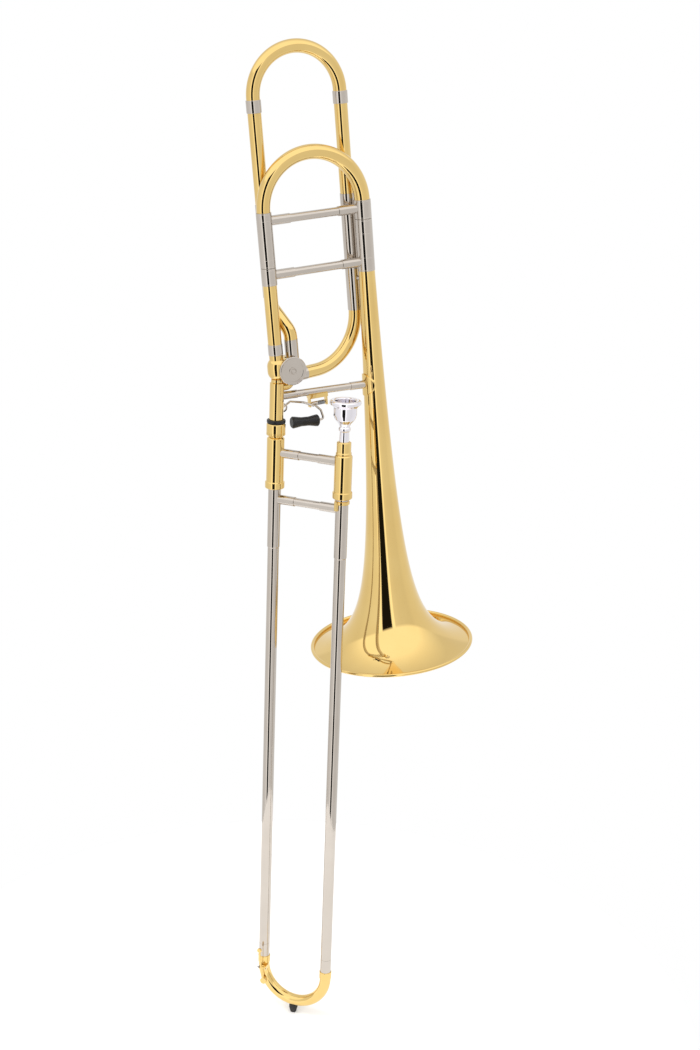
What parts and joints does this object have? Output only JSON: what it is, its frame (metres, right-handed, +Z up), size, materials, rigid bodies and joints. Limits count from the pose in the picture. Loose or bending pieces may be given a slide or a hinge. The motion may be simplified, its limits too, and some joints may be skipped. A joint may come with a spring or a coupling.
{
  "type": "trombone",
  "caption": "Tenor trombone with an F attachment: long double slide, flared bell, rotary valve worked by a thumb lever, and pull-out tuning bows.",
  "frame": {"origin": "centre of the flat end of the rubber tip under the hand slide's bow", "axes": "+Z up along the hand slide towards the tuning bows, +X from the receiver-side slide tube to the mouthpiece-side tube, +Y to the side the bell stands on"},
  "size_m": [0.2686, 0.2593, 1.2833],
  "materials": {
    "lacquered_brass": "polished yellow brass under clear lacquer",
    "nickel_silver": "polished nickel silver, warm grey",
    "chrome_tube": "hard chromed inner slide tube",
    "raw_brass": "machined, unlacquered",
    "silver_plate": "bright silver plate",
    "black_plastic": "smooth black moulding",
    "black_rubber": "matt black rubber",
    "cork": "cork or synthetic cork pad",
    "felt": "black felt ring",
    "spring_steel": "blued spring wire"
  },
  "bodies": {
    "bell_section": {"bell": "lacquered_brass", "bell_sleeve": "nickel_silver", "leg_top_ferrule": "nickel_silver", "tuning_leg_left": "nickel_silver", "neck_leg": "lacquered_brass", "leg_ferrule": "nickel_silver", "knuckle_ball": "lacquered_brass", "slide_receiver": "lacquered_brass", "receiver_collar": "black_plastic", "valve_elbow": "lacquered_brass", "valve_casing": "lacquered_brass", "valve_front_cap": "nickel_silver", "valve_back_plate": "nickel_silver", "stop_bumpers": "cork", "f_port_ferrules": "nickel_silver", "f_return_tube": "lacquered_brass", "f_feed_tube": "lacquered_brass", "f_outer_legs": "nickel_silver", "f_stays": "nickel_silver", "lower_tuning_brace": "nickel_silver", "bell_brace": "nickel_silver", "bell_brace_foot": "lacquered_brass", "trigger_saddle": "lacquered_brass", "trigger_pin": "nickel_silver", "trigger_spring": "spring_steel"},
    "rotor": {"rotor": "raw_brass", "stop_arm": "raw_brass"},
    "valve_link": {"valve_link": "nickel_silver"},
    "thumb_lever": {"thumb_lever": "nickel_silver", "thumb_grip": "black_plastic"},
    "main_tuning_slide": {"tuning_bow": "lacquered_brass", "tuning_sleeve_left": "nickel_silver", "tuning_ferrule_right": "nickel_silver", "tuning_leg_right": "nickel_silver", "upper_tuning_brace": "nickel_silver"},
    "f_tuning_slide": {"f_bow": "lacquered_brass", "f_bow_ferrules": "nickel_silver", "f_slide_legs": "lacquered_brass", "f_inner_legs": "nickel_silver"},
    "inner_slide": {"inner_tubes": "chrome_tube", "cork_barrel_left": "lacquered_brass", "cork_barrel_right": "lacquered_brass", "barrel_felts": "felt", "inner_brace": "nickel_silver", "receiver_tenon": "lacquered_brass", "mouthpiece_receiver": "lacquered_brass"},
    "lock_nut": {"lock_nut": "lacquered_brass"},
    "mouthpiece": {"mouthpiece": "silver_plate"},
    "outer_slide": {"outer_tube_left": "nickel_silver", "outer_tube_right": "nickel_silver", "outer_brace": "nickel_silver", "slide_bow": "lacquered_brass", "bow_ferrules": "lacquered_brass", "slide_tip": "black_rubber", "water_key_mount": "lacquered_brass", "water_key_pin": "nickel_silver", "water_key_spring": "spring_steel"},
    "slide_lock": {"slide_lock": "lacquered_brass"},
    "water_key": {"water_key_lever": "lacquered_brass", "water_key_cork": "cork"}
  },
  "joints": [
    {"name": "bell_angle", "type": "hinge", "parent": "bell_section", "child": "inner_slide", "pos_m": [-0.0462, 0, 0.7438], "axis": [0, 0, 1], "range_deg": [-45, 3]},
    {"name": "lock_nut_turn", "type": "hinge", "parent": "inner_slide", "child": "lock_nut", "pos_m": [-0.0462, 0, 0.7438], "axis": [0, 0, 1], "range_deg": [0, 720]},
    {"name": "mouthpiece_pull", "type": "slide", "parent": "inner_slide", "child": "mouthpiece", "axis": [0, 0, 1], "range_m": [0, 0.06]},
    {"name": "hand_slide", "type": "slide", "parent": "inner_slide", "child": "outer_slide", "axis": [0, 0, -1], "range_m": [0, 0.6]},
    {"name": "slide_lock_turn", "type": "hinge", "parent": "outer_slide", "child": "slide_lock", "pos_m": [0.0462, 0, 0.7438], "axis": [0, 0, 1], "range_deg": [0, 25]},
    {"name": "water_key_press", "type": "hinge", "parent": "outer_slide", "child": "water_key", "pos_m": [-0.0438, -0.0122, 0.0624], "axis": [-1, 0, 0], "range_deg": [0, 10], "stiffness_Nm_per_rad": 0.02, "springref_deg": -34.38},
    {"name": "main_tuning", "type": "slide", "parent": "bell_section", "child": "main_tuning_slide", "axis": [-0.0775, -0.0837, 0.9935], "range_m": [0, 0.045]},
    {"name": "f_tuning", "type": "slide", "parent": "bell_section", "child": "f_tuning_slide", "axis": [-0.0775, -0.0837, 0.9935], "range_m": [0, 0.07]},
    {"name": "thumb_press", "type": "hinge", "parent": "bell_section", "child": "thumb_lever", "pos_m": [-0.01473, 0.03399, 0.8484], "axis": [0.675, 0.7289, 0.1141], "range_deg": [0, 24], "stiffness_Nm_per_rad": 0.05, "springref_deg": -28.65},
    {"name": "rotor_turn", "type": "hinge", "parent": "bell_section", "child": "rotor", "pos_m": [-0.03553, 0.01152, 0.8942], "axis": [-0.7337, 0.6794, 0], "range_deg": [0, 90.01]},
    {"name": "link_swing", "type": "hinge", "parent": "rotor", "child": "valve_link", "pos_m": [-0.05456, 0.0235, 0.88899], "axis": [-0.7337, 0.6794, 0], "range_deg": [-90.01, 0]}
  ],
  "couplings": [
    {"joint": "rotor_turn", "follows": "thumb_press", "ratio": 3.75},
    {"joint": "link_swing", "follows": "thumb_press", "ratio": -3.75}
  ]
}
